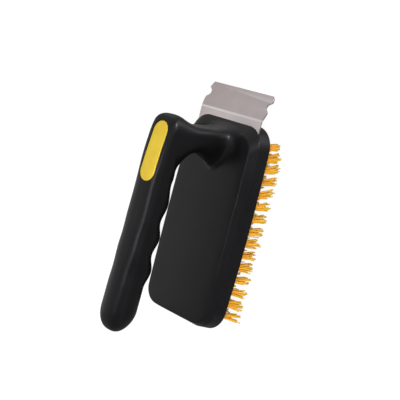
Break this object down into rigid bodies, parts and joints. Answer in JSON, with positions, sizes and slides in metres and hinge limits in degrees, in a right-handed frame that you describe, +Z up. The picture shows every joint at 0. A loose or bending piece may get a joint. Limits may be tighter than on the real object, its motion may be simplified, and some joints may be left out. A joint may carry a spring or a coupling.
{
  "type": "grill cleaning brush",
  "caption": "Rectangular scrubbing head with a raised handle above it, stiff golden bristles underneath and a notched steel scraper at the front edge.",
  "frame": {"origin": "centre of the bounding box in X and Y, at the level of the bristle tips", "axes": "+Z up from the bristle tips to the handle, +Y along the head towards the scraper, +X to the right-hand side seen from behind"},
  "size_m": [0.0786, 0.1886, 0.098],
  "materials": {
    "housing": "fine matte, almost black",
    "pad": "smooth yellow soft-touch",
    "base": "matte black",
    "blade": "brushed stainless",
    "screw": "plain zinc-plated steel",
    "bristle": "golden nylon filaments"
  },
  "bodies": {
    "root": {"housing": "housing", "thumb_pad": "pad", "base_block": "base", "scraper_blade": "blade", "screw_front_right": "screw", "screw_front_left": "screw", "screw_rear_right": "screw", "screw_rear_left": "screw", "tuft_row_01": "bristle", "tuft_row_02": "bristle", "tuft_row_03": "bristle", "tuft_row_04": "bristle", "tuft_row_05": "bristle", "tuft_row_06": "bristle", "tuft_row_07": "bristle", "tuft_row_08": "bristle", "tuft_row_09": "bristle", "tuft_row_10": "bristle", "tuft_row_11": "bristle", "tuft_row_12": "bristle", "tuft_row_13": "bristle", "tuft_row_14": "bristle", "tuft_row_15": "bristle"}
  },
  "joints": []
}
